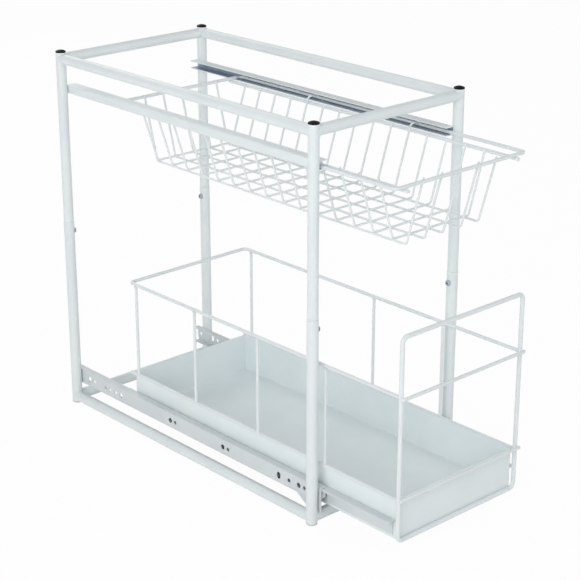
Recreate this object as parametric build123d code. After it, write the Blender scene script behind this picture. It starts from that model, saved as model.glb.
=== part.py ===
from build123d import *
import os
from math import cos, radians, sin, tan

# Two-tier pull-out unit for a kitchen cabinet: a tube frame, a wire basket that slides in
# two channels at the top, and a sheet-metal drawer on roller slides at the bottom.
# Millimetres. +Z up, the front is -Y. The sizes below are measured from the floor under the
# middle of the tube frame; the pieces are written with the origin under the middle of the
# whole unit in its rest pose, which has basket and drawer both pulled part of the way out.

# Tube frame
FRAME_HEIGHT = 450.0        # floor to the top of the post caps
POST_SPACING_X = 213.5      # between post centres, side to side
POST_SPACING_Y = 432.0      # between post centres, front to back
TUBE_D = 12.7               # lower posts and bottom rails
UPPER_TUBE_D = 12.0         # upper posts and top rails
TUBE_WALL = 0.9
WELD_GAP = 0.05             # between faces that are welded or pressed together
POST_JOINT_Z = 239.0        # floor to the joint between lower and upper post
POST_JOINT_EDGE = 0.4       # bevel round the joint's outer edges
SPIGOT_LENGTH = 25.0        # drawn-down end of the upper post, inside the lower one
SPIGOT_FIT = 0.1
SPIGOT_SHOULDER = 2.0       # length of the inside taper above the drawn-down end
TOP_RAIL_DROP = 10.3        # top of the caps to the centre of the top rails
BOTTOM_RAIL_Z = 8.4         # floor to the centre of the bottom rails
MITRE_GAP = 0.1             # each rail end stands this far off the corner's diagonal

# Plastic ends of the posts
CAP_HEAD = 3.0
CAP_RIM = 1.4               # straight edge under the cap's dome
FOOT_HEAD = 2.0
FOOT_ROUND = 1.2
PLUG_STEM = 9.0             # length inside the tube
PLUG_CHAMFER = 0.8

# Screws that hold the post joints
SCREW_BELOW_JOINT = 12.6
SCREW_D = 4.0
SCREW_LENGTH = 7.0
SCREW_HEAD_D = 7.0
SCREW_HEAD_H = 2.2
SCREW_HEAD_ROUND = 1.5
SCREW_HOLE_FIT = 0.15

# Channels that carry the basket
RUNNER_LOW_Z = 397.0
RUNNER_HEIGHT = 10.0
RUNNER_FLANGE = 12.7
RUNNER_SHEET = 1.2
RUNNER_BEND = 1.8           # outside radius of the folds

# Wire basket
RIM_WIRE = 4.0
RIM_REAR_Y = 129.5
RIM_FRONT_Y = -319.5
RIM_CORNER = 5.0
RIM_RUNNING_GAP = 0.3       # over the channel's lower flange
RIM_SIDE_GAP = 1.5          # to the channel's web
SIDE_WIRE_INSET = 14.3      # from the rim's centre to the side wire's centre
SIDE_WIRE_TAIL = 4.0        # past the rim's centre at each end
FINE_WIRE = 2.4
BASKET_FLOOR_Z = 331.0      # centre of the cross wires' flat part
SIDE_LEAN = 18.2            # degrees from upright
END_LEAN = 15.7
BASKET_BEND = 5.0           # centre-line radius
WIRE_END = 1.5              # past the weld
CROSS_COUNT = 15
CROSS_REAR_Y = 101.0
CROSS_PITCH = 27.2
HOOKED = (4, 10)            # cross wires that reach over to the rim, counted from the rear
HOOK_END = 1.0              # past the rim's centre
LONG_COUNT = 5
LONG_PITCH = 27.0

# Drawer tray
TRAY_HALF_WIDTH = 88.6
TRAY_SHEET = 0.9
TRAY_FLOOR_Z = 18.0
TRAY_TOP_Z = 67.0
TRAY_REAR_Y = 116.5
TRAY_BEND = 2.0             # outside radius of the folds
RELIEF_D = 2.4              # relief hole in each floor corner
RELIEF_INSET = 2.6

# Wire loop on the drawer's front
LOOP_WIRE = 5.0
LOOP_HALF_WIDTH = 91.5
LOOP_Y = -330.0
LOOP_LOW_Z = 19.2
LOOP_HIGH_Z = 248.4
LOOP_CORNER = 7.0

# Gallery round the drawer
GALLERY_WIRE = 4.0
GALLERY_Z = 182.5
GALLERY_CORNER = 6.0
EDGE_WIRE_DROP = 1.0        # below the tray's top edge
EDGE_WIRE_TAIL = 5.0        # past the tray's rear wall
UPRIGHT_WIRE = 3.5
UPRIGHT_COUNT = 4
UPRIGHT_REAR_Y = 107.0
UPRIGHT_PITCH = 108.7
FRONT_WIRE_LOW_Z = 68.4
FRONT_WIRE_TAIL = 2.0       # past the loop's centre at each side

# Roller slides
SLIDE_LENGTH = 450.0
SLIDE_REAR_Y = 226.5
SLIDE_SHEET = 1.0
SLIDE_LOW_Z = 24.0
SLIDE_BEND = 1.5
SLIDE_TOP_FLANGE = 8.0
SLIDE_LOW_FLANGE = 9.4
SLIDE_REAR_CORNER = 5.0
FLARE_START = 37.5          # from the slide's front end
FLARE_END = 22.5
FLARE_ROUND = 6.0
MEMBER_TAIL = 11.55         # of the part that is fixed to the tray, past the tray's rear wall
MEMBER_SHEET = 1.0
MEMBER_LOW_Z = 22.6
MEMBER_BEND = 1.3
MEMBER_LIP = 2.4
MEMBER_FRONT_GAP = 2.5      # behind the tray's front face
MEMBER_LEG_BACK = 4.5       # the leg ends this far behind the flange's front end
SIDE_RUNNING_GAP = 0.55     # between the member's lip and the slide's web
TOP_RUNNING_GAP = 0.3       # between the two flanges

# Holes in the slide's web, on the 32 mm cabinet grid
HOLE_Z = 33.5
GRID = 32.0
GRID_REAR_Y = 132.0
GRID_STEPS = (0, 3, 6, 10)
GRID_HOLE = 6.2
PILOT_OFFSET = 9.2          # in front of the grid holes
PILOT_STEPS = (3, 6, 10)
PILOT_HOLE = 4.8
OVAL_HEIGHT = 8.2
OVAL_WIDTH = 6.0
REAR_OVAL_Y = 196.8
FRONT_OVAL_Y = -155.5
FREE_HOLES_Y = (220.5, 186.7, 163.5, 155.1, 143.0, -172.3)

# Rollers
ROLLER_D = 14.0
ROLLER_WIDTH = 5.0
ROLLER_ROUND = 0.6
AXLE_D = 4.0
AXLE_FIT = 0.05             # radial, between roller and axle
AXLE_HEAD_D = 6.4
AXLE_HEAD = 0.8
ROLLER_SIDE_GAP = 0.2
ROLLER_RUNNING_GAP = 0.3    # between the tread and the flange it carries or runs on
ROLLER_STEP = 1.3           # the cabinet roller stands higher than the drawer roller
CABINET_ROLLER_BACK = 7.2   # from the slide's front end
CABINET_ROLLER_STANDOFF = 2.0
MEMBER_ROLLER_STANDOFF = 0.5
THROUGH = 8.0               # length of the cutters that pass through one sheet

# Values worked out from the sizes above
TUBE_R = TUBE_D / 2
BORE_R = TUBE_R - TUBE_WALL
UPPER_R = UPPER_TUBE_D / 2
UPPER_BORE_R = UPPER_R - TUBE_WALL
POST_X = POST_SPACING_X / 2
POST_Y = POST_SPACING_Y / 2
TUBE_TOP_Z = FRAME_HEIGHT - CAP_HEAD
WEB_X = POST_X - TUBE_R - WELD_GAP                    # outer face of the slides' webs
RUNNER_WEB_X = POST_X - UPPER_R - WELD_GAP
WEB_INNER_X = WEB_X - SLIDE_SHEET
RIM_HALF_WIDTH = RUNNER_WEB_X - RUNNER_SHEET - RIM_SIDE_GAP - RIM_WIRE / 2    # to its centre
RIM_Z = RUNNER_LOW_Z + RUNNER_SHEET + RIM_RUNNING_GAP + RIM_WIRE / 2
SIDE_WIRE_X = RIM_HALF_WIDTH - SIDE_WIRE_INSET
SIDE_WIRE_Z = RIM_Z - RIM_WIRE - WELD_GAP
LONG_FLOOR_Z = BASKET_FLOOR_Z - FINE_WIRE - WELD_GAP
WELD_REACH = (RIM_WIRE + FINE_WIRE) / 2 + WELD_GAP    # between centres of a fine and a rim wire
TRAY_FRONT_Y = LOOP_Y + LOOP_WIRE / 2 + WELD_GAP
GALLERY_X = TRAY_HALF_WIDTH + GALLERY_WIRE / 2 + WELD_GAP
GALLERY_REAR_Y = TRAY_REAR_Y + GALLERY_WIRE / 2
EDGE_WIRE_Z = TRAY_TOP_Z - EDGE_WIRE_DROP
FRONT_WIRE_Y = LOOP_Y - (LOOP_WIRE + GALLERY_WIRE) / 2 - WELD_GAP
MEMBER_INNER_X = TRAY_HALF_WIDTH + WELD_GAP
MEMBER_LEG_X = MEMBER_INNER_X + MEMBER_SHEET
MEMBER_OUTER_X = WEB_INNER_X - SIDE_RUNNING_GAP
ROLLER_R = ROLLER_D / 2
SLIDE_FRONT_Y = SLIDE_REAR_Y - SLIDE_LENGTH
FLARE_LOW_Z = BOTTOM_RAIL_Z + TUBE_R + WELD_GAP       # the web stands on the bottom rail
MEMBER_ROLLER_Z = SLIDE_LOW_Z + SLIDE_SHEET + ROLLER_RUNNING_GAP + ROLLER_R
CABINET_ROLLER_Z = MEMBER_ROLLER_Z + ROLLER_STEP
MEMBER_TOP_Z = CABINET_ROLLER_Z + ROLLER_R + ROLLER_RUNNING_GAP + MEMBER_SHEET
SLIDE_TOP_Z = MEMBER_TOP_Z + TOP_RUNNING_GAP + SLIDE_SHEET
CABINET_ROLLER_Y = SLIDE_FRONT_Y + CABINET_ROLLER_BACK
MEMBER_FRONT_Y = TRAY_FRONT_Y + MEMBER_FRONT_GAP
MEMBER_REAR_Y = TRAY_REAR_Y + MEMBER_TAIL
MEMBER_LENGTH = MEMBER_REAR_Y - MEMBER_FRONT_Y
MEMBER_ROLLER_Y = MEMBER_REAR_Y - ROLLER_R
CABINET_ROLLER_X = WEB_INNER_X - CABINET_ROLLER_STANDOFF - ROLLER_WIDTH / 2
MEMBER_ROLLER_X = MEMBER_LEG_X + MEMBER_ROLLER_STANDOFF + ROLLER_WIDTH / 2

UNIT_FRONT_Y = FRONT_WIRE_Y - GALLERY_WIRE / 2
UNIT_MIDDLE_Y = (UNIT_FRONT_Y + SLIDE_REAR_Y) / 2

SIDES = {"left": -1, "right": 1}
ENDS = {"front": -1, "rear": 1}


def from_unit_middle(part):
    """Move a piece from the tube frame's origin to the whole unit's."""
    return Pos(0, -UNIT_MIDDLE_Y, 0) * part


def write(part, name):
    part.label = name
    export_step(part, f"parts/{name}.step")


def save(part, name):
    """Write one named piece."""
    write(from_unit_middle(part), name)


def save_group(solids, name):
    """Write several equal, separate pieces under one name."""
    write(Compound(children=[from_unit_middle(solid) for solid in solids]), name)


def section_along_y(sketch, rear_y, length):
    """Run a section drawn in X and Z forwards from rear_y."""
    start = Plane((0, rear_y, 0), x_dir=(1, 0, 0), z_dir=(0, -1, 0))
    return extrude(start * sketch, amount=length)


def wire(points, diameter, bend=0.0, close=False):
    """Round wire along straight runs, with equal bends between them."""
    if len(points) == 2:
        path = Line(*points)
    else:
        path = FilletPolyline(*points, radius=bend, close=close)
    start = Plane(origin=path @ 0, z_dir=path % 0)
    return sweep(start * Circle(diameter / 2), path=path)


def disc(radius, low, high):
    """Round bar along X between two distances from the cabinet's middle."""
    return Pos((low + high) / 2, 0, 0) * Rot(0, 90, 0) * Cylinder(radius, high - low)


def revolved(*points):
    """Solid of revolution about Z from an outline of radii and heights."""
    outline = Plane.XZ * make_face(Polyline(*points, close=True))
    return revolve(outline, Axis.Z)


# Frame

def screw_hole(side_x):
    """Hole through the wall of a post that faces the cabinet's middle."""
    drill = Cylinder(SCREW_D / 2 + SCREW_HOLE_FIT, TUBE_D)
    inwards = -side_x * TUBE_R
    return Pos(inwards, 0, POST_JOINT_Z - SCREW_BELOW_JOINT) * Rot(0, 90, 0) * drill


def lower_post(side_x):
    tube = revolved(
        (BORE_R, FOOT_HEAD), (TUBE_R, FOOT_HEAD), (TUBE_R, POST_JOINT_Z - POST_JOINT_EDGE),
        (TUBE_R - POST_JOINT_EDGE, POST_JOINT_Z), (BORE_R, POST_JOINT_Z)
    )
    return tube - screw_hole(side_x)


def upper_post(side_x):
    """Tube whose lower end is drawn down to slide into the lower post."""
    spigot_r = BORE_R - SPIGOT_FIT
    spigot_bore = spigot_r - TUBE_WALL
    spigot_low = POST_JOINT_Z - SPIGOT_LENGTH
    tube = revolved(
        (spigot_bore, spigot_low), (spigot_r, spigot_low), (spigot_r, POST_JOINT_Z),
        (UPPER_R - POST_JOINT_EDGE, POST_JOINT_Z), (UPPER_R, POST_JOINT_Z + POST_JOINT_EDGE),
        (UPPER_R, TUBE_TOP_Z), (UPPER_BORE_R, TUBE_TOP_Z),
        (UPPER_BORE_R, POST_JOINT_Z + SPIGOT_SHOULDER + TUBE_WALL),
        (spigot_bore, POST_JOINT_Z + TUBE_WALL),
    )
    return tube - screw_hole(side_x)


def plug_stem(bore_r):
    """Part of an end plug that sits inside the tube, from Z = 0 downwards."""
    stem_r = bore_r - WELD_GAP
    return revolved(
        (0, 0), (stem_r, 0), (stem_r, PLUG_CHAMFER - PLUG_STEM),
        (stem_r - PLUG_CHAMFER, -PLUG_STEM), (0, -PLUG_STEM)
    )


def post_cap():
    """Domed cap on a post's top end."""
    rise = CAP_HEAD - CAP_RIM
    dome_r = (UPPER_R ** 2 + rise ** 2) / (2 * rise)
    dome = Pos(0, 0, CAP_HEAD - dome_r) * Sphere(dome_r)
    head = Pos(0, 0, CAP_HEAD / 2) * Cylinder(UPPER_R, CAP_HEAD) & dome
    return Pos(0, 0, TUBE_TOP_Z) * (head + plug_stem(UPPER_BORE_R))


def foot_plug():
    """Flat foot with a rounded edge, pressed into a post's bottom end."""
    head = Pos(0, 0, FOOT_HEAD / 2) * Cylinder(TUBE_R, FOOT_HEAD)
    head = fillet(head.edges().group_by(Axis.Z)[0], FOOT_ROUND)
    stem = Pos(0, 0, FOOT_HEAD) * Rot(180, 0, 0) * plug_stem(BORE_R)
    return head + stem


def post_screw(side_x):
    """Pan-head screw from the inner side through both walls of a post joint."""
    seat = TUBE_R + WELD_GAP
    head = disc(SCREW_HEAD_D / 2, seat, seat + SCREW_HEAD_H)
    head = fillet(head.edges().group_by(Axis.X)[-1], SCREW_HEAD_ROUND)
    shank = disc(SCREW_D / 2, seat - SCREW_LENGTH, seat)
    turned = Rot(0, 0, 180) if side_x > 0 else Rot(0, 0, 0)
    return Pos(0, 0, POST_JOINT_Z - SCREW_BELOW_JOINT) * turned * (head + shank)


def rail(spacing, tube_r):
    """Tube between two posts of its own size, coped to them and mitred at the corners.

    It lies along X with its middle at the origin, and the frame's inside is towards +Y."""
    tube = Rot(0, 90, 0) * (Cylinder(tube_r, spacing) - Cylinder(tube_r - TUBE_WALL, spacing))
    half = spacing / 2 - MITRE_GAP
    reach = 2 * tube_r
    plan = Polyline(
        (-half + reach, reach), (-half - reach, -reach),
        (half + reach, -reach), (half - reach, reach), close=True
    )
    mitred = tube & extrude(make_face(plan), amount=reach, both=True)
    for end in ENDS.values():
        mitred -= Pos(end * spacing / 2, 0, 0) * Cylinder(tube_r + WELD_GAP, 2 * reach)
    return mitred


def rails(level, z, tube_r):
    """Four rails round the frame at one height."""
    cross = rail(POST_SPACING_X, tube_r)
    side = rail(POST_SPACING_Y, tube_r)
    save(Pos(0, -POST_Y, z) * cross, f"{level}_rail_front")
    save(Pos(0, POST_Y, z) * Rot(0, 0, 180) * cross, f"{level}_rail_rear")
    save(Pos(POST_X, 0, z) * Rot(0, 0, 90) * side, f"{level}_rail_right")
    save(Pos(-POST_X, 0, z) * Rot(0, 0, -90) * side, f"{level}_rail_left")


def frame():
    screws = []
    for end, y in ENDS.items():
        for side, x in SIDES.items():
            corner = Pos(x * POST_X, y * POST_Y, 0)
            save(corner * lower_post(x), f"lower_post_{end}_{side}")
            save(corner * upper_post(x), f"upper_post_{end}_{side}")
            save(corner * post_cap(), f"post_cap_{end}_{side}")
            save(corner * foot_plug(), f"foot_plug_{end}_{side}")
            screws.append(corner * post_screw(x))
    save_group(screws, "post_screws")
    rails("top", FRAME_HEIGHT - TOP_RAIL_DROP, UPPER_R)
    rails("bottom", BOTTOM_RAIL_Z, TUBE_R)


# Channels and slides

def channel_section(web_x, low_z, high_z, flange, sheet, bend):
    """Section of a folded channel on the right side, open towards the middle."""
    middle = (low_z + high_z) / 2
    outer = Pos(web_x - flange / 2, middle) * Rectangle(flange, high_z - low_z)
    outer = fillet(outer.vertices().group_by(Axis.X)[-1], bend)
    inner = Pos(web_x - sheet - flange / 2, middle) * Rectangle(flange, high_z - low_z - 2 * sheet)
    inner = fillet(inner.vertices().group_by(Axis.X)[-1], bend - sheet)
    return outer - inner


def upper_runner():
    section = channel_section(
        RUNNER_WEB_X, RUNNER_LOW_Z, RUNNER_LOW_Z + RUNNER_HEIGHT, RUNNER_FLANGE, RUNNER_SHEET,
        RUNNER_BEND
    )
    return section_along_y(section, POST_Y, POST_SPACING_Y)


def web_hole(y, diameter):
    return Pos(WEB_X, y, HOLE_Z) * Rot(0, 90, 0) * Cylinder(diameter / 2, THROUGH)


def web_oval(y):
    straight = OVAL_HEIGHT - OVAL_WIDTH
    slot = Pos(WEB_X, y, HOLE_Z) * Box(THROUGH, OVAL_WIDTH, straight)
    for end in ENDS.values():
        slot += Pos(0, 0, end * straight / 2) * web_hole(y, OVAL_WIDTH)
    return slot


def slide_holes():
    holes = [web_hole(GRID_REAR_Y - GRID * step, GRID_HOLE) for step in GRID_STEPS]
    holes += [web_hole(GRID_REAR_Y - GRID * step - PILOT_OFFSET, PILOT_HOLE) for step in PILOT_STEPS]
    holes += [web_hole(y, PILOT_HOLE) for y in FREE_HOLES_Y]
    holes += [web_oval(REAR_OVAL_Y), web_oval(FRONT_OVAL_Y)]
    holes.append(
        Pos(WEB_X, CABINET_ROLLER_Y, CABINET_ROLLER_Z) * Rot(0, 90, 0)
        * Cylinder(AXLE_D / 2 + WELD_GAP, THROUGH)
    )
    return holes


def cabinet_slide():
    """Fixed half of a roller slide: a channel whose web widens downwards at the front."""
    flare_rear = SLIDE_FRONT_Y + FLARE_START
    flare_front = SLIDE_FRONT_Y + FLARE_END
    outline = FilletPolyline(
        (SLIDE_REAR_Y, SLIDE_TOP_Z), (SLIDE_REAR_Y, SLIDE_LOW_Z), (flare_rear, SLIDE_LOW_Z),
        (flare_front, FLARE_LOW_Z), (SLIDE_FRONT_Y, FLARE_LOW_Z), (SLIDE_FRONT_Y, SLIDE_TOP_Z),
        radius=(0, SLIDE_REAR_CORNER, FLARE_ROUND, FLARE_ROUND, 0, 0), close=True
    )
    side_view = Plane.YZ * make_face(outline)
    section = channel_section(
        WEB_X, SLIDE_LOW_Z, SLIDE_TOP_Z, SLIDE_LOW_FLANGE, SLIDE_SHEET, SLIDE_BEND
    )
    section -= Pos(WEB_X - SLIDE_TOP_FLANGE - SLIDE_LOW_FLANGE / 2, SLIDE_TOP_Z) * Rectangle(
        SLIDE_LOW_FLANGE, THROUGH
    )
    channel = section_along_y(section, SLIDE_REAR_Y, SLIDE_LENGTH)
    low_fold = Pos(WEB_X, (flare_rear + SLIDE_FRONT_Y) / 2, SLIDE_LOW_Z) * Box(
        POST_X, FLARE_START, 2 * SLIDE_BEND
    )
    channel -= low_fold
    web = extrude(Pos(WEB_INNER_X, 0, 0) * side_view, amount=SLIDE_SHEET)
    web -= Pos(WEB_X, (flare_rear + SLIDE_REAR_Y) / 2, SLIDE_LOW_Z) * Box(
        POST_X, SLIDE_REAR_Y - flare_rear, 2 * SLIDE_BEND
    )
    slide = (channel + web) & extrude(side_view, amount=WEB_X)
    for hole in slide_holes():
        slide -= hole
    return slide


def drawer_member():
    """Moving half of a roller slide: a leg on the tray's side with a flange and a lip."""
    lip_z = MEMBER_TOP_Z - MEMBER_LIP
    under_z = MEMBER_TOP_Z - MEMBER_SHEET
    lip_x = MEMBER_OUTER_X - MEMBER_SHEET
    inner_bend = MEMBER_BEND - MEMBER_SHEET
    section = make_face(FilletPolyline(
        (MEMBER_INNER_X, MEMBER_LOW_Z), (MEMBER_LEG_X, MEMBER_LOW_Z), (MEMBER_LEG_X, under_z),
        (lip_x, under_z), (lip_x, lip_z), (MEMBER_OUTER_X, lip_z),
        (MEMBER_OUTER_X, MEMBER_TOP_Z), (MEMBER_INNER_X, MEMBER_TOP_Z),
        radius=(0, 0, inner_bend, inner_bend, 0, 0, MEMBER_BEND, MEMBER_BEND), close=True
    ))
    member = section_along_y(section, MEMBER_REAR_Y, MEMBER_LENGTH)
    member -= Pos(MEMBER_INNER_X, MEMBER_FRONT_Y, MEMBER_LOW_Z) * Box(
        4 * MEMBER_SHEET, 2 * MEMBER_LEG_BACK, 2 * (under_z - MEMBER_BEND - MEMBER_LOW_Z)
    )
    pin_hole = disc(AXLE_D / 2 + WELD_GAP, MEMBER_INNER_X - MEMBER_SHEET, MEMBER_LEG_X + MEMBER_SHEET)
    return member - Pos(0, MEMBER_ROLLER_Y, MEMBER_ROLLER_Z) * pin_hole


def roller(x):
    tread = Pos(x, 0, 0) * Rot(0, 90, 0) * Cylinder(ROLLER_R, ROLLER_WIDTH)
    tread = fillet(tread.edges().filter_by(GeomType.CIRCLE), ROLLER_ROUND)
    return tread - disc(AXLE_D / 2 + AXLE_FIT, x - ROLLER_WIDTH, x + ROLLER_WIDTH)


def axle(low, high, *collars):
    """Riveted axle along X: a shank with its heads and the collar that spaces the roller."""
    solid = disc(AXLE_D / 2, low, high)
    for collar_low, collar_high in collars:
        solid += disc(AXLE_HEAD_D / 2, collar_low, collar_high)
    return solid


def cabinet_axle():
    """Axle riveted flush with the outside of the slide's web, because the post stands there."""
    roller_low = CABINET_ROLLER_X - ROLLER_WIDTH / 2 - ROLLER_SIDE_GAP
    roller_high = CABINET_ROLLER_X + ROLLER_WIDTH / 2 + ROLLER_SIDE_GAP
    inside = roller_low - AXLE_HEAD
    return axle(inside, WEB_X, (inside, roller_low), (roller_high, WEB_INNER_X - WELD_GAP))


def member_axle():
    roller_low = MEMBER_ROLLER_X - ROLLER_WIDTH / 2 - ROLLER_SIDE_GAP
    roller_high = MEMBER_ROLLER_X + ROLLER_WIDTH / 2 + ROLLER_SIDE_GAP
    inside = MEMBER_INNER_X - WELD_GAP - AXLE_HEAD
    outside = roller_high + AXLE_HEAD
    return axle(
        inside, outside, (inside, inside + AXLE_HEAD), (MEMBER_LEG_X + WELD_GAP, roller_low),
        (roller_high, outside)
    )


def save_sides(part, name):
    """Write a right-hand piece and its mirror image."""
    save(part, f"{name}_right")
    save(mirror(part, about=Plane.YZ), f"{name}_left")


def slides():
    save_sides(upper_runner(), "upper_runner")
    save_sides(cabinet_slide(), "cabinet_slide")
    save_sides(drawer_member(), "drawer_member")
    cabinet_place = Pos(0, CABINET_ROLLER_Y, CABINET_ROLLER_Z)
    member_place = Pos(0, MEMBER_ROLLER_Y, MEMBER_ROLLER_Z)
    save_sides(cabinet_place * roller(CABINET_ROLLER_X), "cabinet_roller")
    save_sides(member_place * roller(MEMBER_ROLLER_X), "drawer_roller")
    save_sides(cabinet_place * cabinet_axle(), "cabinet_axle")
    save_sides(member_place * member_axle(), "drawer_axle")


# Basket

def leaning_leg(weld_across, weld_z, floor_z, lean):
    """Foot and weld point of a fine wire that leans against the inside of a rim wire.

    Both are given as a distance across from the middle and a height."""
    weld = (weld_across - WELD_REACH * cos(lean), weld_z + WELD_REACH * sin(lean))
    foot = (weld[0] - (weld[1] - floor_z) * tan(lean), floor_z)
    return foot, weld


def cross_wire(y, hooked):
    """U-shaped wire across the basket, from one side wire down and up to the other."""
    lean = radians(SIDE_LEAN)
    foot, weld = leaning_leg(SIDE_WIRE_X, SIDE_WIRE_Z, BASKET_FLOOR_Z, lean)
    if hooked:
        hook_z = RIM_Z + WELD_REACH
        knee = (weld[0] + (hook_z - weld[1]) * tan(lean), hook_z)
        half = [foot, knee, (RIM_HALF_WIDTH + HOOK_END, hook_z)]
    else:
        half = [foot, (weld[0] + WIRE_END * sin(lean), weld[1] + WIRE_END * cos(lean))]
    right = [(x, y, z) for x, z in half]
    left = [(-x, y, z) for x, z in reversed(half)]
    return wire(left + right, FINE_WIRE, BASKET_BEND)


def long_wire(x):
    """U-shaped wire along the basket, under the cross wires, from rim end to rim end."""
    lean = radians(END_LEAN)
    middle = (RIM_REAR_Y + RIM_FRONT_Y) / 2
    foot, weld = leaning_leg(RIM_REAR_Y - middle, RIM_Z, LONG_FLOOR_Z, lean)
    tip = (weld[0] + WIRE_END * sin(lean), weld[1] + WIRE_END * cos(lean))
    rear = [(x, middle + along, z) for along, z in (tip, foot)]
    front = [(x, middle - along, z) for along, z in (foot, tip)]
    return wire(rear + front, FINE_WIRE, BASKET_BEND)


def basket():
    corners = [
        (RIM_HALF_WIDTH, RIM_REAR_Y, RIM_Z), (-RIM_HALF_WIDTH, RIM_REAR_Y, RIM_Z),
        (-RIM_HALF_WIDTH, RIM_FRONT_Y, RIM_Z), (RIM_HALF_WIDTH, RIM_FRONT_Y, RIM_Z),
    ]
    save(wire(corners, RIM_WIRE, RIM_CORNER, close=True), "basket_rim")
    side_wire = wire(
        [(SIDE_WIRE_X, RIM_REAR_Y + SIDE_WIRE_TAIL, SIDE_WIRE_Z),
         (SIDE_WIRE_X, RIM_FRONT_Y - SIDE_WIRE_TAIL, SIDE_WIRE_Z)], RIM_WIRE
    )
    save_sides(side_wire, "basket_side_wire")
    places = [(number, CROSS_REAR_Y - number * CROSS_PITCH) for number in range(CROSS_COUNT)]
    plain = [cross_wire(y, False) for number, y in places if number not in HOOKED]
    hooked = [cross_wire(y, True) for number, y in places if number in HOOKED]
    save_group(plain, "basket_cross_wires")
    save_group(hooked, "basket_hook_wires")
    first_x = -(LONG_COUNT - 1) / 2 * LONG_PITCH
    save_group([long_wire(first_x + i * LONG_PITCH) for i in range(LONG_COUNT)], "basket_long_wires")


# Drawer

def tray():
    """Folded sheet tray, open at the top, with a relief hole in each floor corner."""
    length = TRAY_REAR_Y - TRAY_FRONT_Y
    middle_y = (TRAY_REAR_Y + TRAY_FRONT_Y) / 2
    height = TRAY_TOP_Z - TRAY_FLOOR_Z

    def block(inset):
        plan = RectangleRounded(
            2 * (TRAY_HALF_WIDTH - inset), length - 2 * inset, TRAY_BEND - inset
        )
        solid = extrude(Pos(0, middle_y, TRAY_FLOOR_Z + inset) * plan, amount=height)
        return fillet(solid.edges().group_by(Axis.Z)[0], TRAY_BEND - inset - WELD_GAP)

    above = Pos(0, middle_y, TRAY_TOP_Z + height / 2) * Box(POST_SPACING_X, 2 * length, height)
    folded = block(0) - above - block(TRAY_SHEET)
    for x in SIDES.values():
        for y in (TRAY_FRONT_Y + RELIEF_INSET, TRAY_REAR_Y - RELIEF_INSET):
            relief = Cylinder(RELIEF_D / 2, THROUGH)
            folded -= Pos(x * (TRAY_HALF_WIDTH - RELIEF_INSET), y, TRAY_FLOOR_Z) * relief
    return folded


def gallery():
    """Wires that fence the drawer above the tray."""
    butt_y = LOOP_Y + LOOP_WIRE / 2 + WELD_GAP
    save(wire(
        [(-GALLERY_X, butt_y, GALLERY_Z), (-GALLERY_X, GALLERY_REAR_Y, GALLERY_Z),
         (GALLERY_X, GALLERY_REAR_Y, GALLERY_Z), (GALLERY_X, butt_y, GALLERY_Z)],
        GALLERY_WIRE, GALLERY_CORNER
    ), "gallery_rail")
    edge_wire = wire(
        [(GALLERY_X, TRAY_REAR_Y + EDGE_WIRE_TAIL, EDGE_WIRE_Z), (GALLERY_X, butt_y, EDGE_WIRE_Z)],
        GALLERY_WIRE
    )
    save_sides(edge_wire, "tray_edge_wire")
    low = EDGE_WIRE_Z + GALLERY_WIRE / 2 + WELD_GAP
    high = GALLERY_Z - GALLERY_WIRE / 2 - WELD_GAP
    for side, x in SIDES.items():
        places = [UPRIGHT_REAR_Y - i * UPRIGHT_PITCH for i in range(UPRIGHT_COUNT)]
        uprights = [
            wire([(x * GALLERY_X, y, low), (x * GALLERY_X, y, high)], UPRIGHT_WIRE) for y in places
        ]
        save_group(uprights, f"gallery_uprights_{side}")


def front_wires():
    """Closed loop in front of the tray and the two cross wires on it."""
    corners = [
        (LOOP_HALF_WIDTH, LOOP_Y, LOOP_HIGH_Z), (-LOOP_HALF_WIDTH, LOOP_Y, LOOP_HIGH_Z),
        (-LOOP_HALF_WIDTH, LOOP_Y, LOOP_LOW_Z), (LOOP_HALF_WIDTH, LOOP_Y, LOOP_LOW_Z),
    ]
    save(wire(corners, LOOP_WIRE, LOOP_CORNER, close=True), "front_loop")
    reach = LOOP_HALF_WIDTH + FRONT_WIRE_TAIL
    for name, z in (("front_wire_low", FRONT_WIRE_LOW_Z), ("front_wire_middle", GALLERY_Z)):
        save(wire([(-reach, FRONT_WIRE_Y, z), (reach, FRONT_WIRE_Y, z)], GALLERY_WIRE), name)


os.makedirs("parts", exist_ok=True)
frame()
slides()
basket()
save(tray(), "tray")
gallery()
front_wires()
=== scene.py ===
import math

import bmesh
import bpy
from mathutils import Matrix, Vector


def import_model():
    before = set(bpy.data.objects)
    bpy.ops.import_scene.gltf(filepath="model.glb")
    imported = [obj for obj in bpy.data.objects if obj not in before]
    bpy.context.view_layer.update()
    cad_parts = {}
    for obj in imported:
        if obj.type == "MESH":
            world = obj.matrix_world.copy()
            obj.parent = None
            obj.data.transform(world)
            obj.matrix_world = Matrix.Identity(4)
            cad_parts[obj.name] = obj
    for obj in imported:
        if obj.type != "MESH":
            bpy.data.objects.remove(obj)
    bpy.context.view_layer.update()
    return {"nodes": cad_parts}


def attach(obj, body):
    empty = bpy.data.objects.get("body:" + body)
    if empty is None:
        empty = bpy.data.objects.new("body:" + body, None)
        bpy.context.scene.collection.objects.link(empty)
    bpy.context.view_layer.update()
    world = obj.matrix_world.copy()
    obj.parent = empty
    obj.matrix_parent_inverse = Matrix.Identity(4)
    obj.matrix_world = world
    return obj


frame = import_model()

MM = 0.001

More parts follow.
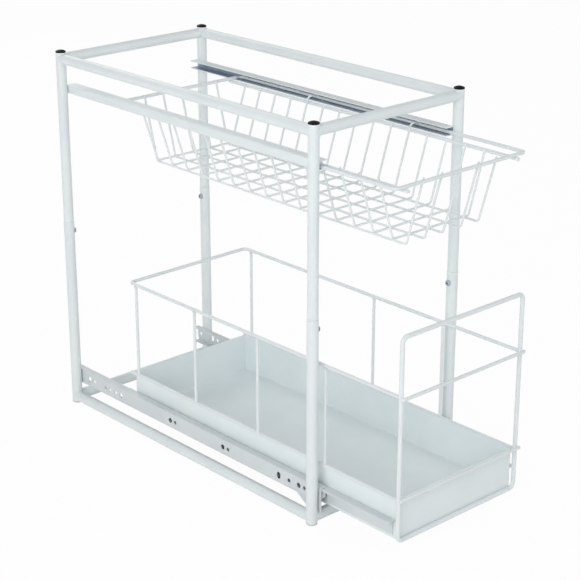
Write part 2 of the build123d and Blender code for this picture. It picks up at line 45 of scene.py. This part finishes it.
# Sizes shared with the CAD model, in millimetres from the floor under the tube frame's middle
TUBE_R = 6.35
UPPER_R = 6.0
POST_X = 106.75
POST_Y = 216.0
TOP_RAIL_Z = 439.7
BOTTOM_RAIL_Z = 8.4
RUNNER_LOW_Z = 397.0
RUNNER_HIGH_Z = 407.0
RUNNER_SHEET = 1.2
RUNNER_WEB_X = 100.7
BASKET_FLOOR_Z = 331.0
FINE_R = 1.2
CROSS_REAR_Y = 101.0
CROSS_PITCH = 27.2
CROSS_COUNT = 15
HOOKED = (4, 10)
LONG_PITCH = 27.0
LONG_EACH_SIDE = 2          # of the long wire in the middle
SIDE_WIRE_X = 81.7
SIDE_WIRE_Z = 396.45
RIM_R = 2.0
RIM_X = 96.0
RIM_Z = 400.5
RIM_ENDS = (129.5, -319.5)
GALLERY_X = 90.65
GALLERY_Z = 182.5
EDGE_WIRE_Z = 66.0
UPRIGHT_R = 1.75
UPRIGHT_REAR_Y = 107.0
UPRIGHT_PITCH = 108.7
UPRIGHT_COUNT = 4
LOOP_X = 91.5
LOOP_Y = -330.0
FRONT_WIRE_ZS = (68.4, 182.5)
SCREW_Z = 226.4
SCREW_HEAD_FACE = 2.25      # from the post's outside
FRAME_MIDDLE_Y = 55.025     # the tube frame's middle is this far behind the scene's origin

CROSS_YS = [CROSS_REAR_Y - CROSS_PITCH * i for i in range(CROSS_COUNT)]
LONG_XS = [LONG_PITCH * i for i in range(-LONG_EACH_SIDE, LONG_EACH_SIDE + 1)]
UPRIGHT_YS = [UPRIGHT_REAR_Y - UPRIGHT_PITCH * i for i in range(UPRIGHT_COUNT)]

# Welds, in millimetres; a nugget is given by its half extents
FLOOR_NUGGET = (1.15, 1.15, 0.75)
SIDE_NUGGET = (0.8, 1.2, 1.3)
HOOK_NUGGET = (1.5, 1.1, 0.7)
SIDE_END_NUGGET = (1.6, 1.6, 0.7)
RIM_END_NUGGET = (1.2, 0.8, 1.3)
EDGE_NUGGET = (0.7, 3.2, 1.1)
FRONT_NUGGET = (1.6, 0.75, 1.5)
BUTT_NUGGET = (1.9, 0.8, 1.9)
BESIDE_WIRE = 1.9           # from a wire's centre to the centre of a nugget beside it
SIDE_NUGGET_RISE = 0.6
RIM_END_RISE = 0.5
EDGE_NUGGET_RISE = 0.3
EDGE_NUGGET_APART = 9.0     # along the wire, on both sides of an upright
FRONT_NUGGET_OUT = 2.45     # in front of the loop's centre
BUTT_NUGGET_BACK = 2.55     # behind the loop's centre
BUTT_NUGGET_OUT = 0.2
COLLAR_SEAT = 1.75          # from the centre of the wire that carries it
COLLAR_RISE = 1.5
COLLAR_FLARE = 0.55
COLLAR_WAIST_FLARE = 0.45   # share of the flare that is left at the waist
COLLAR_WAIST_RISE = 0.35    # share of the rise at which the waist is
COLLAR_LIP = 0.03           # past the wire's surface at the collar's end
COLLAR_BURIED = 0.4         # inside the wire's surface
BEAD_R = 0.75
BEAD_LIFT = 0.25
BEAD_STEPS = 12
BEAD_START = -58            # degrees round the post from the rail's direction
BEAD_END = 42
BEAD_TIP = 0.35             # share of the radius at a bead's ends
BEAD_SWELL = 0.45           # share gained with every step away from an end
RIPPLE = 0.10               # share of the radius
RIPPLE_TURN = 2.4           # radians a step

# Black boxes half sunk in the screws' heads, painted shade that stands for the cross slots, in
# millimetres
SLOT_THICKNESS = 0.12
SLOT_LENGTH = 3.2
SLOT_WIDTH = 0.7


def place(point):
    """Scene place of a point given in millimetres from the floor under the tube frame's middle."""
    return (Vector(point) + Vector((0.0, FRAME_MIDDLE_Y, 0.0))) * MM


# Node helpers

class Nodes:
    """Short way to build one material's node tree."""

    def __init__(self, tree):
        self.tree = tree
        tree.nodes.clear()

    def add(self, kind, **props):
        node = self.tree.nodes.new(kind)
        for key, value in props.items():
            setattr(node, key, value)
        return node

    def link(self, out, into):
        self.tree.links.new(out, into)

    def math(self, operation, a, b=0.0):
        node = self.add("ShaderNodeMath", operation=operation)
        for socket, value in zip(node.inputs, (a, b)):
            if isinstance(value, (int, float)):
                socket.default_value = value
            else:
                self.link(value, socket)
        return node.outputs[0]

    def noise(self, coords, scale, detail=2.0, roughness=0.5):
        node = self.add("ShaderNodeTexNoise")
        node.inputs["Scale"].default_value = scale
        node.inputs["Detail"].default_value = detail
        node.inputs["Roughness"].default_value = roughness
        self.link(coords, node.inputs["Vector"])
        return node.outputs["Fac"]

    def spread(self, value, low, high, from_low=0.3, from_high=0.7):
        node = self.add("ShaderNodeMapRange")
        node.inputs["From Min"].default_value = from_low
        node.inputs["From Max"].default_value = from_high
        node.inputs["To Min"].default_value = low
        node.inputs["To Max"].default_value = high
        self.link(value, node.inputs["Value"])
        return node.outputs["Result"]

    def mix(self, factor, a, b):
        node = self.add("ShaderNodeMix", data_type="RGBA")
        self.link(factor, node.inputs["Factor"])
        for socket, value in ((node.inputs["A"], a), (node.inputs["B"], b)):
            if isinstance(value, tuple):
                socket.default_value = (*value, 1.0)
            else:
                self.link(value, socket)
        return node.outputs["Result"]

    def bump(self, height, distance, strength):
        node = self.add("ShaderNodeBump")
        node.inputs["Strength"].default_value = strength
        node.inputs["Distance"].default_value = distance
        self.link(height, node.inputs["Height"])
        return node.outputs["Normal"]

    def shader(self, metallic=0.0, **values):
        node = self.add("ShaderNodeBsdfPrincipled")
        node.inputs["Metallic"].default_value = metallic
        for name, value in values.items():
            node.inputs[name.replace("_", " ")].default_value = value
        return node

    def mix_shaders(self, factor, a, b):
        node = self.add("ShaderNodeMixShader")
        for socket, value in zip(node.inputs, (factor, a, b)):
            self.link(value, socket)
        return node.outputs[0]

    def object_coords(self):
        return self.add("ShaderNodeTexCoord").outputs["Object"]

    def finish(self, shader, kind="ShaderNodeOutputMaterial"):
        out = self.add(kind)
        self.link(shader, out.inputs["Surface"])


def material(name):
    made = bpy.data.materials.new(name)
    made.use_nodes = True
    return made, Nodes(made.node_tree)


def srgb(red, green, blue):
    """Linear colour for a colour given in 0-255 as it's seen."""
    def linear(value):
        value /= 255.0
        return value / 12.92 if value <= 0.04045 else ((value + 0.055) / 1.055) ** 2.4
    return tuple(linear(value) for value in (red, green, blue))


# Materials: noise scales are for one metre, bump depths are in metres

CLOUD_SCALE = 22.0
GLOSS_SCALE = 160.0
PAINT_ROUGHNESS = (0.30, 0.42)
PEEL_SCALE = 700.0
PEEL_DEPTH = 0.00004
PEEL_STRENGTH = 0.5
COAT = {"Coat_Weight": 0.15, "Coat_Roughness": 0.2}
GRAIN_SCALE = 1800.0
GRAIN_STRETCH = (1.0, 0.02, 1.0)
GRAIN_SHARE = 0.6           # most that the grain's colour covers
GRAIN_DEPTH = 0.00002
GRAIN_STRENGTH = 0.4
FLAKE_SCALE = 160.0
FLAKE_REACH = 0.8           # distance in a flake's cell at which it's darkest
ZINC_METALLIC = 0.6
ZINC_ROUGHNESS = (0.28, 0.46)
ZINC_LIGHT = srgb(178, 192, 206)
ZINC_DARK = srgb(150, 165, 182)
ZINC_GRAIN = srgb(200, 210, 220)
MASK_EDGE = 0.06            # millimetres by which the bare zinc reaches past its faces
TINT_SCALE = 60.0
SPARK_STRENGTH = 0.6


def paint_nodes(n, at, light, dark, peel, peel_depth, coat):
    """Base shader of powder coat: faint cloudiness, orange peel and uneven gloss."""
    shader = n.shader(Specular_IOR_Level=0.5, **coat)
    cloud = n.spread(n.noise(at, CLOUD_SCALE, 3.0), 0.0, 1.0)
    gloss = n.noise(at, GLOSS_SCALE, 3.0)
    n.link(n.mix(cloud, light, dark), shader.inputs["Base Color"])
    n.link(n.spread(gloss, *PAINT_ROUGHNESS), shader.inputs["Roughness"])
    n.link(n.bump(n.noise(at, peel), peel_depth, PEEL_STRENGTH), shader.inputs["Normal"])
    return shader.outputs[0]


def white_paint(name, light, dark, peel=PEEL_SCALE, peel_depth=PEEL_DEPTH):
    made, n = material(name)
    n.finish(paint_nodes(n, n.object_coords(), light, dark, peel, peel_depth, COAT))
    return made


def zinc_nodes(n, at):
    """Base shader of bare zinc-coated steel sheet, drawn along Y."""
    grain_map = n.add("ShaderNodeMapping")
    grain_map.inputs["Scale"].default_value = GRAIN_STRETCH
    n.link(at, grain_map.inputs["Vector"])
    grain = n.noise(grain_map.outputs[0], GRAIN_SCALE, 3.0)
    flakes = n.add("ShaderNodeTexVoronoi")
    flakes.inputs["Scale"].default_value = FLAKE_SCALE
    n.link(at, flakes.inputs["Vector"])
    flake = n.spread(flakes.outputs["Distance"], 0.0, 1.0, 0.0, FLAKE_REACH)
    tone = n.mix(flake, ZINC_LIGHT, ZINC_DARK)
    shader = n.shader(metallic=ZINC_METALLIC)
    n.link(n.mix(n.spread(grain, 0.0, GRAIN_SHARE), tone, ZINC_GRAIN), shader.inputs["Base Color"])
    n.link(n.spread(grain, *ZINC_ROUGHNESS), shader.inputs["Roughness"])
    n.link(n.bump(grain, GRAIN_DEPTH, GRAIN_STRENGTH), shader.inputs["Normal"])
    return shader.outputs[0]


def zinc():
    made, n = material("zinc_steel")
    n.finish(zinc_nodes(n, n.object_coords()))
    return made


def runner_paint(light, dark):
    """White outside and bare zinc on the faces inside the channel."""
    made, n = material("runner_paint")
    at = n.object_coords()
    axes = n.add("ShaderNodeSeparateXYZ")
    n.link(at, axes.inputs[0])
    web = (RUNNER_WEB_X - RUNNER_SHEET + MASK_EDGE) * MM
    floor_z = (RUNNER_LOW_Z + RUNNER_SHEET - MASK_EDGE) * MM
    roof_z = (RUNNER_HIGH_Z - RUNNER_SHEET + MASK_EDGE) * MM
    inside = n.math("LESS_THAN", n.math("ABSOLUTE", axes.outputs["X"]), web)
    above = n.math("GREATER_THAN", axes.outputs["Z"], floor_z)
    below = n.math("LESS_THAN", axes.outputs["Z"], roof_z)
    bare = n.math("MULTIPLY", n.math("MULTIPLY", inside, above), below)
    paint = paint_nodes(n, at, light, dark, PEEL_SCALE, PEEL_DEPTH, {})
    n.finish(n.mix_shaders(bare, paint, zinc_nodes(n, at)))
    return made


def plastic(name, light, dark, roughness, grain_scale, depth, specular=0.5):
    """Moulded plastic with a fine spark-eroded grain."""
    made, n = material(name)
    at = n.object_coords()
    grain = n.noise(at, grain_scale, 4.0, 0.6)
    shader = n.shader(Specular_IOR_Level=specular)
    tint = n.spread(n.noise(at, TINT_SCALE), 0.0, 1.0)
    n.link(n.mix(tint, light, dark), shader.inputs["Base Color"])
    n.link(n.spread(grain, *roughness), shader.inputs["Roughness"])
    n.link(n.bump(grain, depth, SPARK_STRENGTH), shader.inputs["Normal"])
    n.finish(shader.outputs[0])
    return made


PAINT_LIGHT = srgb(236, 240, 241)
PAINT_DARK = srgb(230, 235, 237)
tube_paint = white_paint("tube_paint", PAINT_LIGHT, PAINT_DARK)
wire_paint = white_paint("wire_paint", srgb(237, 240, 241), srgb(231, 235, 237), 900.0, 0.00003)
sheet_paint = white_paint("sheet_paint", srgb(238, 244, 245), srgb(233, 240, 242), 600.0, 0.00004)
slide_paint = white_paint("slide_paint", srgb(222, 226, 228), srgb(213, 218, 221), 800.0, 0.00003)
channel_paint = runner_paint(PAINT_LIGHT, PAINT_DARK)
bare_zinc = zinc()
# Black of the post caps; also used as painted shade in the screws' cross slots
black_cap_and_slot_shade = plastic(
    "black_cap_and_slot_shade", srgb(12, 12, 13), srgb(7, 7, 8), (0.45, 0.62), 900.0, 0.00003, 0.2
)
foot_plastic = plastic(
    "foot_plastic", srgb(216, 220, 220), srgb(205, 209, 210), (0.42, 0.58), 700.0, 0.00003
)
roller_plastic = plastic(
    "roller_plastic", srgb(226, 228, 224), srgb(214, 217, 214), (0.30, 0.45), 600.0, 0.00002
)

LOOKS = (
    ("post_cap", black_cap_and_slot_shade),
    ("foot_plug", foot_plastic),
    ("post_screws", bare_zinc),
    ("lower_post", tube_paint),
    ("upper_post", tube_paint),
    ("top_rail", tube_paint),
    ("bottom_rail", tube_paint),
    ("upper_runner", channel_paint),
    ("cabinet_slide", slide_paint),
    ("drawer_member", slide_paint),
    ("cabinet_roller", roller_plastic),
    ("drawer_roller", roller_plastic),
    ("cabinet_axle", bare_zinc),
    ("drawer_axle", bare_zinc),
    ("basket_", wire_paint),
    ("gallery_", wire_paint),
    ("front_", wire_paint),
    ("tray_edge", wire_paint),
    ("tray", sheet_paint),
)


def dress_nodes():
    """Give every CAD node its own finish."""
    for name, obj in frame["nodes"].items():
        look = next(mat for start, mat in LOOKS if name.startswith(start))
        obj.data.materials.clear()
        obj.data.materials.append(look)


# Mesh helpers

def add_object(name, mesh, look):
    """Scene object from a bmesh, which is freed."""
    data = bpy.data.meshes.new(name)
    mesh.to_mesh(data)
    mesh.free()
    data.materials.append(look)
    made = bpy.data.objects.new(name, data)
    bpy.context.scene.collection.objects.link(made)
    return made


def ring_angles(sides):
    """Angles of the corners of an even ring."""
    return [2 * math.pi * k / sides for k in range(sides)]


# Welds

class Welds:
    """Many small beads gathered into one piece."""

    def __init__(self):
        self.mesh = bmesh.new()

    def nugget(self, centre, size):
        """Squashed blob of weld metal, size being its half extents."""
        blob = Matrix.Translation(place(centre)) @ Matrix.Diagonal((*(Vector(size) * MM), 1.0))
        bmesh.ops.create_icosphere(self.mesh, subdivisions=2, radius=1.0, matrix=blob)

    def skin(self, rings):
        """Walls between the rings in turn, and a face on each end."""
        for low, high in zip(rings, rings[1:]):
            for k in range(len(low)):
                after = (k + 1) % len(low)
                self.mesh.faces.new((low[k], low[after], high[after], high[k]))
        self.mesh.faces.new(list(reversed(rings[0])))
        self.mesh.faces.new(rings[-1])

    def tube(self, path, radius, sides=8):
        """Rippled bead of round section along a path, with tapered ends."""
        path = [place(point) for point in path]
        last = len(path) - 1
        rings = []
        for i, point in enumerate(path):
            along = (path[min(i + 1, last)] - path[max(i - 1, 0)]).normalized()
            side = along.cross(Vector((0, 0, 1)))
            side = side.normalized() if side.length > 1e-6 else Vector((1, 0, 0))
            up = side.cross(along)
            taper = min(1.0, BEAD_TIP + BEAD_SWELL * min(i, last - i))
            ripple = 1.0 + RIPPLE * math.sin(i * RIPPLE_TURN)
            r = radius * MM * taper * ripple
            rings.append([
                self.mesh.verts.new(point + r * (math.cos(a) * side + math.sin(a) * up))
                for a in ring_angles(sides)
            ])
        self.skin(rings)

    def collar(self, foot, rise, inner, flare, sides=14):
        """Small fillet round an upright wire's end; rise is signed, up or down."""
        x, y, z = foot
        buried = inner - COLLAR_BURIED
        profile = (
            (buried, 0.0),
            (inner + flare, 0.0),
            (inner + flare * COLLAR_WAIST_FLARE, COLLAR_WAIST_RISE * rise),
            (inner + COLLAR_LIP, rise),
            (buried, rise),
        )
        self.skin([
            [
                self.mesh.verts.new(place((x + r * math.cos(a), y + r * math.sin(a), z + h)))
                for a in ring_angles(sides)
            ]
            for r, h in profile
        ])

    def done(self, name, body, look):
        bmesh.ops.recalc_face_normals(self.mesh, faces=self.mesh.faces)
        for face in self.mesh.faces:
            face.smooth = True
        piece = add_object(name, self.mesh, look)
        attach(piece, body)


def corner_bead(welds, post, rail_angle, mitre_side, z, upper, tube_r):
    """Bead where a rail's coped end meets a post, from the outer side to the corner's mitre.

    rail_angle is the rail's direction from the post; mitre_side and upper are 1 or -1.
    """
    x, y = post
    radius = tube_r + BEAD_LIFT
    path = []
    for step in range(BEAD_STEPS + 1):
        angle = math.radians(BEAD_START + (BEAD_END - BEAD_START) * step / BEAD_STEPS)
        turn = rail_angle + mitre_side * angle
        height = tube_r * math.cos(angle) + BEAD_LIFT
        path.append((x + radius * math.cos(turn), y + radius * math.sin(turn), z + upper * height))
    welds.tube(path, BEAD_R)


def frame_welds():
    """Beads round the ends of all rails, but none on the floor's side."""
    welds = Welds()
    levels = ((TOP_RAIL_Z, UPPER_R, (-1, 1)), (BOTTOM_RAIL_Z, TUBE_R, (1,)))
    for z, tube_r, faces in levels:
        for sx in (-1, 1):
            for sy in (-1, 1):
                post = (sx * POST_X, sy * POST_Y)
                along_x = math.pi if sx > 0 else 0.0
                along_y = -math.pi / 2 if sy > 0 else math.pi / 2
                for upper in faces:
                    corner_bead(welds, post, along_x, sx * sy, z, upper, tube_r)
                    corner_bead(welds, post, along_y, -sx * sy, z, upper, tube_r)
    welds.done("frame_welds", "frame", tube_paint)


def basket_welds():
    """Nuggets where the basket's wires cross or meet."""
    welds = Welds()
    for y in CROSS_YS:
        for x in LONG_XS:
            welds.nugget((x, y, BASKET_FLOOR_Z - FINE_R), FLOOR_NUGGET)
    for number, y in enumerate(CROSS_YS):
        for side in (-1, 1):
            beside = side * (SIDE_WIRE_X - BESIDE_WIRE)
            welds.nugget((beside, y, SIDE_WIRE_Z + SIDE_NUGGET_RISE), SIDE_NUGGET)
            if number in HOOKED:
                welds.nugget((side * RIM_X, y, RIM_Z + RIM_R), HOOK_NUGGET)
    for side in (-1, 1):
        for y in RIM_ENDS:
            welds.nugget((side * SIDE_WIRE_X, y, RIM_Z - RIM_R), SIDE_END_NUGGET)
    for y, inward in zip(RIM_ENDS, (-1, 1)):
        for x in LONG_XS:
            welds.nugget((x, y + inward * BESIDE_WIRE, RIM_Z + RIM_END_RISE), RIM_END_NUGGET)
    welds.done("basket_welds", "basket", wire_paint)


def drawer_welds():
    """Collars on the uprights and nuggets on the tray, the loop and its cross wires."""
    welds = Welds()
    for side in (-1, 1):
        for y in UPRIGHT_YS:
            x = side * GALLERY_X
            welds.collar((x, y, EDGE_WIRE_Z + COLLAR_SEAT), COLLAR_RISE, UPRIGHT_R, COLLAR_FLARE)
            welds.collar((x, y, GALLERY_Z - COLLAR_SEAT), -COLLAR_RISE, UPRIGHT_R, COLLAR_FLARE)
            for dy in (-EDGE_NUGGET_APART, EDGE_NUGGET_APART):
                beside = side * (GALLERY_X - BESIDE_WIRE)
                welds.nugget((beside, y + dy, EDGE_WIRE_Z + EDGE_NUGGET_RISE), EDGE_NUGGET)
        for z in FRONT_WIRE_ZS:
            welds.nugget((side * LOOP_X, LOOP_Y - FRONT_NUGGET_OUT, z), FRONT_NUGGET)
        for z in (GALLERY_Z, EDGE_WIRE_Z):
            butt_x = side * (GALLERY_X + BUTT_NUGGET_OUT)
            welds.nugget((butt_x, LOOP_Y + BUTT_NUGGET_BACK, z), BUTT_NUGGET)
    welds.done("drawer_welds", "drawer", wire_paint)


# Painted shade in the screw recesses

def screw_slot_shade():
    """Black cross-shaped boxes in the heads of the four post screws: painted shade of their cross
    slots.
    """
    slots = bmesh.new()
    arms = ((SLOT_THICKNESS, SLOT_LENGTH, SLOT_WIDTH), (SLOT_THICKNESS, SLOT_WIDTH, SLOT_LENGTH))
    head_face = TUBE_R + SCREW_HEAD_FACE
    for sx in (-1, 1):
        for sy in (-1, 1):
            x = sx * (POST_X - head_face)
            centre = Matrix.Translation(place((x, sy * POST_Y, SCREW_Z)))
            for size in arms:
                bmesh.ops.create_cube(slots, size=MM, matrix=centre @ Matrix.Diagonal((*size, 1.0)))
    # the caps' black gives the painted shade of the slots
    piece = add_object("screw_slot_shade", slots, black_cap_and_slot_shade)
    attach(piece, "frame")


# Surroundings

WHITE = (1.0, 1.0, 1.0, 1.0)
FLOOR_HALF_SIZE = 9.0       # metres
FLOOR_DROP = 0.0005         # metres under the feet
FLOOR_LIGHT = (0.93, 0.93, 0.93)
FLOOR_DARK = (0.91, 0.91, 0.91)
FLOOR_PATCH_SCALE = 3.0
FLOOR_WHITENESS = 0.96      # share of plain white where the floor is seen
HORIZON_LIGHT = 0.74
OVERHEAD_LIGHT = 0.36
HORIZON_TOP = 0.05          # height of a direction, 1 being straight up
OVERHEAD_FROM = 0.75
SKY_COLOUR = (0.955, 1.0, 1.0, 1.0)
LAMP_AIM = (0.0, -50.0, 220.0)
LAMPS = (                   # azimuth, elevation, distance, size and power
    ("key", -66, 22, 2.2, 1.3, 17.0),
    ("front", 15, 40, 2.4, 1.5, 9.0),
    ("back", 165, 35, 2.6, 1.4, 12.0),
)


def floor():
    """Pale floor that keeps a faint shadow and otherwise looks white."""
    made, n = material("floor_white")
    diffuse = n.add("ShaderNodeBsdfDiffuse")
    patches = n.spread(n.noise(n.object_coords(), FLOOR_PATCH_SCALE), 0.0, 1.0)
    n.link(n.mix(patches, FLOOR_LIGHT, FLOOR_DARK), diffuse.inputs["Color"])
    white = n.add("ShaderNodeEmission")
    white.inputs["Color"].default_value = WHITE
    white.inputs["Strength"].default_value = 1.0
    path = n.add("ShaderNodeLightPath")
    seen = n.math("MAXIMUM", path.outputs["Is Camera Ray"], path.outputs["Is Glossy Ray"])
    share = n.math("MULTIPLY", seen, FLOOR_WHITENESS)
    n.finish(n.mix_shaders(share, diffuse.outputs[0], white.outputs[0]))
    mesh = bmesh.new()
    bmesh.ops.create_grid(mesh, x_segments=8, y_segments=8, size=FLOOR_HALF_SIZE)
    piece = add_object("floor", mesh, made)
    piece.location = (0, 0, -FLOOR_DROP)


def world():
    """Soft light from all round, darker overhead; white where it's seen."""
    made = bpy.data.worlds.new("studio")
    made.use_nodes = True
    n = Nodes(made.node_tree)
    axes = n.add("ShaderNodeSeparateXYZ")
    n.link(n.add("ShaderNodeTexCoord").outputs["Generated"], axes.inputs[0])
    height = axes.outputs["Z"]
    level = n.spread(height, HORIZON_LIGHT, OVERHEAD_LIGHT, HORIZON_TOP, OVERHEAD_FROM)
    light = n.add("ShaderNodeBackground")
    light.inputs["Color"].default_value = SKY_COLOUR
    n.link(level, light.inputs["Strength"])
    white = n.add("ShaderNodeBackground")
    white.inputs["Color"].default_value = WHITE
    white.inputs["Strength"].default_value = 1.0
    seen = n.add("ShaderNodeLightPath").outputs["Is Camera Ray"]
    n.finish(n.mix_shaders(seen, light.outputs[0], white.outputs[0]), "ShaderNodeOutputWorld")
    bpy.context.scene.world = made


def turn_back(obj, azimuth, elevation):
    """Turn a lamp or camera towards its target; returns the direction back from the target."""
    a, e = math.radians(azimuth), math.radians(elevation)
    back = Vector((math.sin(a) * math.cos(e), -math.cos(a) * math.cos(e), math.sin(e)))
    obj.rotation_mode = "QUATERNION"
    obj.rotation_quaternion = (-back).to_track_quat("-Z", "Y")
    bpy.context.scene.collection.objects.link(obj)
    return back


def lamp(name, azimuth, elevation, distance, size, power):
    """Square soft lamp that faces the object's middle; metres, degrees and watts."""
    data = bpy.data.lights.new(name, "AREA")
    data.shape = "SQUARE"
    data.size = size
    data.energy = power
    obj = bpy.data.objects.new(name, data)
    back = turn_back(obj, azimuth, elevation)
    obj.location = place(LAMP_AIM) + back * distance


CAMERA_AZIMUTH = -42.433
CAMERA_ELEVATION = 20.827
CAMERA_DISTANCE = 1837.5
CAMERA_TARGET = (-42.33, -110.71, 225.0)
FOCAL_PIXELS = 1663.98
PHOTO_PIXELS = 580.0
SENSOR = 36.0               # millimetres
NEAREST = 0.05              # metres
FARTHEST = 50.0


def camera():
    """Camera at the photograph's viewing angle, solved from the posts and the drawer's front."""
    data = bpy.data.cameras.new("camera")
    data.sensor_width = SENSOR
    data.lens = FOCAL_PIXELS / PHOTO_PIXELS * SENSOR
    data.clip_start = NEAREST
    data.clip_end = FARTHEST
    obj = bpy.data.objects.new("camera", data)
    back = turn_back(obj, CAMERA_AZIMUTH, CAMERA_ELEVATION)
    obj.location = place(Vector(CAMERA_TARGET) + back * CAMERA_DISTANCE)
    bpy.context.scene.camera = obj


bpy.context.scene.view_settings.view_transform = "Standard"
dress_nodes()
frame_welds()
basket_welds()
drawer_welds()
screw_slot_shade()
floor()
world()
for values in LAMPS:
    lamp(*values)
camera()
